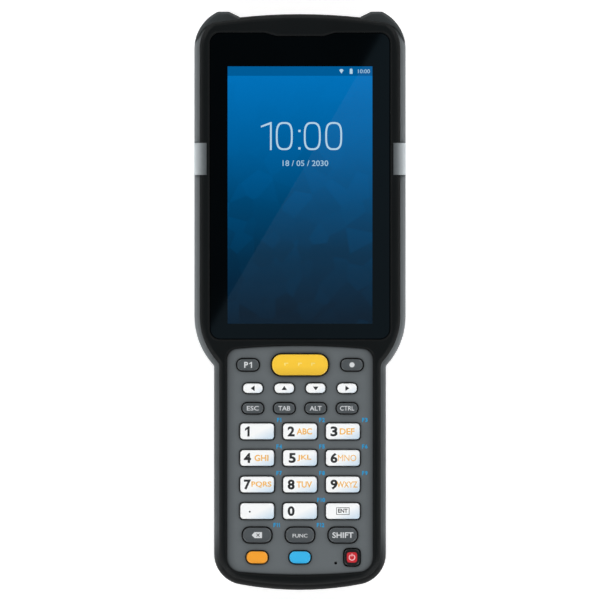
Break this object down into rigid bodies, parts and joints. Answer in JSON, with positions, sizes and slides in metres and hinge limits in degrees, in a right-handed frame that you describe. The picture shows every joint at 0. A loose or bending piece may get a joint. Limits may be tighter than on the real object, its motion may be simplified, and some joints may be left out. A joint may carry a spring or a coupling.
{
  "type": "handheld barcode data terminal",
  "caption": "Rugged handheld data terminal with a touch screen, a numeric keypad, a scan window in its top end, side triggers and a battery in its back.",
  "frame": {"origin": "under the middle of the length and width, on the plane that the back rests on", "axes": "+X across the keypad, +Y along the body towards the scanning end, +Z out of the screen"},
  "size_m": [0.0742, 0.2028, 0.0343],
  "materials": {
    "grey_skin": "soft-touch moulded skin, fine grain",
    "bumper_rubber": "satin moulded rubber",
    "black_frame": "satin fine-grained plastic",
    "seal_silicone": "smooth silicone",
    "cover_glass": "polished, black printed border",
    "display": "lit screen",
    "pad_grey": "satin fine-grained plastic",
    "key_white": "smooth moulded cap",
    "key_dark": "smooth moulded cap",
    "key_yellow": "smooth moulded cap",
    "key_orange": "smooth moulded cap",
    "key_blue": "smooth moulded cap",
    "mat_silicone": "translucent silicone",
    "circuit_board": "solder resist",
    "dome_steel": "stamped spring steel",
    "chassis_metal": "cast, as cast",
    "shield_tin": "tinned sheet",
    "window_red": "polished dark red window",
    "imager_black": "black anodised block",
    "bracket_steel": "bent sheet",
    "frosted_pipe": "frosted clear light pipe",
    "side_button": "satin moulded rubber",
    "battery_shell": "fine-grained plastic",
    "latch_plastic": "moulded, ridged",
    "contact_block": "black connector plastic",
    "speaker_black": "moulded case",
    "motor_steel": "drawn can",
    "screw_steel": "black zinc",
    "bar_steel": "ground steel"
  },
  "bodies": {
    "terminal": {"rear_housing": "grey_skin", "corner_bumpers": "bumper_rubber", "front_housing": "black_frame", "housing_seal": "seal_silicone", "display_glass": "cover_glass", "display_module": "display", "keypad_plate": "pad_grey", "keypad_mat": "mat_silicone", "keypad_board": "circuit_board", "snap_domes": "dome_steel", "inner_chassis": "chassis_metal", "main_board": "circuit_board", "shield_cans": "shield_tin", "scan_window": "window_red", "scan_engine": "imager_black", "scan_bracket": "bracket_steel", "status_light_pipes": "frosted_pipe", "side_switch_boards": "circuit_board", "battery_contacts": "contact_block", "loudspeaker": "speaker_black", "vibration_motor": "motor_steel", "dock_connector": "contact_block", "housing_screws": "screw_steel", "strap_bars": "bar_steel"},
    "left_scan_trigger": {"left_scan_trigger": "side_button"},
    "right_scan_trigger": {"right_scan_trigger": "side_button"},
    "talk_button": {"talk_button": "side_button"},
    "volume_rocker": {"volume_rocker": "side_button"},
    "battery": {"battery_pack": "battery_shell"},
    "battery_latch_left": {"battery_latch_left": "latch_plastic"},
    "battery_latch_right": {"battery_latch_right": "latch_plastic"},
    "p1_key": {"key_p1": "key_dark"},
    "dot_key": {"key_dot": "key_dark"},
    "scan_key": {"key_scan": "key_yellow"},
    "left_key": {"key_left": "key_white"},
    "up_key": {"key_up": "key_white"},
    "down_key": {"key_down": "key_white"},
    "right_key": {"key_right": "key_white"},
    "esc_key": {"key_esc": "key_dark"},
    "tab_key": {"key_tab": "key_dark"},
    "alt_key": {"key_alt": "key_dark"},
    "ctrl_key": {"key_ctrl": "key_dark"},
    "1_key": {"key_1": "key_white"},
    "2_key": {"key_2": "key_white"},
    "3_key": {"key_3": "key_white"},
    "4_key": {"key_4": "key_white"},
    "5_key": {"key_5": "key_white"},
    "6_key": {"key_6": "key_white"},
    "7_key": {"key_7": "key_white"},
    "8_key": {"key_8": "key_white"},
    "9_key": {"key_9": "key_white"},
    "point_key": {"key_point": "key_white"},
    "0_key": {"key_0": "key_white"},
    "enter_key": {"key_enter": "key_white"},
    "backspace_key": {"key_backspace": "key_dark"},
    "func_key": {"key_func": "key_dark"},
    "shift_key": {"key_shift": "key_dark"},
    "orange_key": {"key_orange": "key_orange"},
    "blue_key": {"key_blue": "key_blue"},
    "power_key": {"key_power": "key_dark"}
  },
  "joints": [
    {"name": "press_left_trigger", "type": "slide", "parent": "terminal", "child": "left_scan_trigger", "axis": [1, 0, 0], "range_m": [0, 0.001], "stiffness_N_per_m": 1500},
    {"name": "press_right_trigger", "type": "slide", "parent": "terminal", "child": "right_scan_trigger", "axis": [-1, 0, 0], "range_m": [0, 0.001], "stiffness_N_per_m": 1500},
    {"name": "press_talk", "type": "slide", "parent": "terminal", "child": "talk_button", "axis": [1, 0, 0], "range_m": [0, 0.001], "stiffness_N_per_m": 1500},
    {"name": "rock_volume", "type": "hinge", "parent": "terminal", "child": "volume_rocker", "pos_m": [-0.0345, 0.0683, 0.016], "axis": [0, 0, 1], "range_deg": [-3.5, 3.5], "stiffness_Nm_per_rad": 0.05},
    {"name": "battery_out", "type": "slide", "parent": "terminal", "child": "battery", "axis": [0, 0, -1], "range_m": [0, 0.02]},
    {"name": "press_left_latch", "type": "slide", "parent": "battery", "child": "battery_latch_left", "axis": [1, 0, 0], "range_m": [0, 0.0015], "stiffness_N_per_m": 800},
    {"name": "press_right_latch", "type": "slide", "parent": "battery", "child": "battery_latch_right", "axis": [-1, 0, 0], "range_m": [0, 0.0015], "stiffness_N_per_m": 800},
    {"name": "press_p1", "type": "slide", "parent": "terminal", "child": "p1_key", "axis": [0, 0, -1], "range_m": [0, 0.0008], "stiffness_N_per_m": 2000, "deforming": ["keypad_mat"]},
    {"name": "press_dot", "type": "slide", "parent": "terminal", "child": "dot_key", "axis": [0, 0, -1], "range_m": [0, 0.0008], "stiffness_N_per_m": 2000, "deforming": ["keypad_mat"]},
    {"name": "press_scan", "type": "slide", "parent": "terminal", "child": "scan_key", "axis": [0, 0, -1], "range_m": [0, 0.0008], "stiffness_N_per_m": 2000, "deforming": ["keypad_mat"]},
    {"name": "press_left", "type": "slide", "parent": "terminal", "child": "left_key", "axis": [0, 0, -1], "range_m": [0, 0.0008], "stiffness_N_per_m": 2000, "deforming": ["keypad_mat"]},
    {"name": "press_up", "type": "slide", "parent": "terminal", "child": "up_key", "axis": [0, 0, -1], "range_m": [0, 0.0008], "stiffness_N_per_m": 2000, "deforming": ["keypad_mat"]},
    {"name": "press_down", "type": "slide", "parent": "terminal", "child": "down_key", "axis": [0, 0, -1], "range_m": [0, 0.0008], "stiffness_N_per_m": 2000, "deforming": ["keypad_mat"]},
    {"name": "press_right", "type": "slide", "parent": "terminal", "child": "right_key", "axis": [0, 0, -1], "range_m": [0, 0.0008], "stiffness_N_per_m": 2000, "deforming": ["keypad_mat"]},
    {"name": "press_esc", "type": "slide", "parent": "terminal", "child": "esc_key", "axis": [0, 0, -1], "range_m": [0, 0.0008], "stiffness_N_per_m": 2000, "deforming": ["keypad_mat"]},
    {"name": "press_tab", "type": "slide", "parent": "terminal", "child": "tab_key", "axis": [0, 0, -1], "range_m": [0, 0.0008], "stiffness_N_per_m": 2000, "deforming": ["keypad_mat"]},
    {"name": "press_alt", "type": "slide", "parent": "terminal", "child": "alt_key", "axis": [0, 0, -1], "range_m": [0, 0.0008], "stiffness_N_per_m": 2000, "deforming": ["keypad_mat"]},
    {"name": "press_ctrl", "type": "slide", "parent": "terminal", "child": "ctrl_key", "axis": [0, 0, -1], "range_m": [0, 0.0008], "stiffness_N_per_m": 2000, "deforming": ["keypad_mat"]},
    {"name": "press_1", "type": "slide", "parent": "terminal", "child": "1_key", "axis": [0, 0, -1], "range_m": [0, 0.0008], "stiffness_N_per_m": 2000, "deforming": ["keypad_mat"]},
    {"name": "press_2", "type": "slide", "parent": "terminal", "child": "2_key", "axis": [0, 0, -1], "range_m": [0, 0.0008], "stiffness_N_per_m": 2000, "deforming": ["keypad_mat"]},
    {"name": "press_3", "type": "slide", "parent": "terminal", "child": "3_key", "axis": [0, 0, -1], "range_m": [0, 0.0008], "stiffness_N_per_m": 2000, "deforming": ["keypad_mat"]},
    {"name": "press_4", "type": "slide", "parent": "terminal", "child": "4_key", "axis": [0, 0, -1], "range_m": [0, 0.0008], "stiffness_N_per_m": 2000, "deforming": ["keypad_mat"]},
    {"name": "press_5", "type": "slide", "parent": "terminal", "child": "5_key", "axis": [0, 0, -1], "range_m": [0, 0.0008], "stiffness_N_per_m": 2000, "deforming": ["keypad_mat"]},
    {"name": "press_6", "type": "slide", "parent": "terminal", "child": "6_key", "axis": [0, 0, -1], "range_m": [0, 0.0008], "stiffness_N_per_m": 2000, "deforming": ["keypad_mat"]},
    {"name": "press_7", "type": "slide", "parent": "terminal", "child": "7_key", "axis": [0, 0, -1], "range_m": [0, 0.0008], "stiffness_N_per_m": 2000, "deforming": ["keypad_mat"]},
    {"name": "press_8", "type": "slide", "parent": "terminal", "child": "8_key", "axis": [0, 0, -1], "range_m": [0, 0.0008], "stiffness_N_per_m": 2000, "deforming": ["keypad_mat"]},
    {"name": "press_9", "type": "slide", "parent": "terminal", "child": "9_key", "axis": [0, 0, -1], "range_m": [0, 0.0008], "stiffness_N_per_m": 2000, "deforming": ["keypad_mat"]},
    {"name": "press_point", "type": "slide", "parent": "terminal", "child": "point_key", "axis": [0, 0, -1], "range_m": [0, 0.0008], "stiffness_N_per_m": 2000, "deforming": ["keypad_mat"]},
    {"name": "press_0", "type": "slide", "parent": "terminal", "child": "0_key", "axis": [0, 0, -1], "range_m": [0, 0.0008], "stiffness_N_per_m": 2000, "deforming": ["keypad_mat"]},
    {"name": "press_enter", "type": "slide", "parent": "terminal", "child": "enter_key", "axis": [0, 0, -1], "range_m": [0, 0.0008], "stiffness_N_per_m": 2000, "deforming": ["keypad_mat"]},
    {"name": "press_backspace", "type": "slide", "parent": "terminal", "child": "backspace_key", "axis": [0, 0, -1], "range_m": [0, 0.0008], "stiffness_N_per_m": 2000, "deforming": ["keypad_mat"]},
    {"name": "press_func", "type": "slide", "parent": "terminal", "child": "func_key", "axis": [0, 0, -1], "range_m": [0, 0.0008], "stiffness_N_per_m": 2000, "deforming": ["keypad_mat"]},
    {"name": "press_shift", "type": "slide", "parent": "terminal", "child": "shift_key", "axis": [0, 0, -1], "range_m": [0, 0.0008], "stiffness_N_per_m": 2000, "deforming": ["keypad_mat"]},
    {"name": "press_orange", "type": "slide", "parent": "terminal", "child": "orange_key", "axis": [0, 0, -1], "range_m": [0, 0.0008], "stiffness_N_per_m": 2000, "deforming": ["keypad_mat"]},
    {"name": "press_blue", "type": "slide", "parent": "terminal", "child": "blue_key", "axis": [0, 0, -1], "range_m": [0, 0.0008], "stiffness_N_per_m": 2000, "deforming": ["keypad_mat"]},
    {"name": "press_power", "type": "slide", "parent": "terminal", "child": "power_key", "axis": [0, 0, -1], "range_m": [0, 0.0008], "stiffness_N_per_m": 2000, "deforming": ["keypad_mat"]}
  ]
}
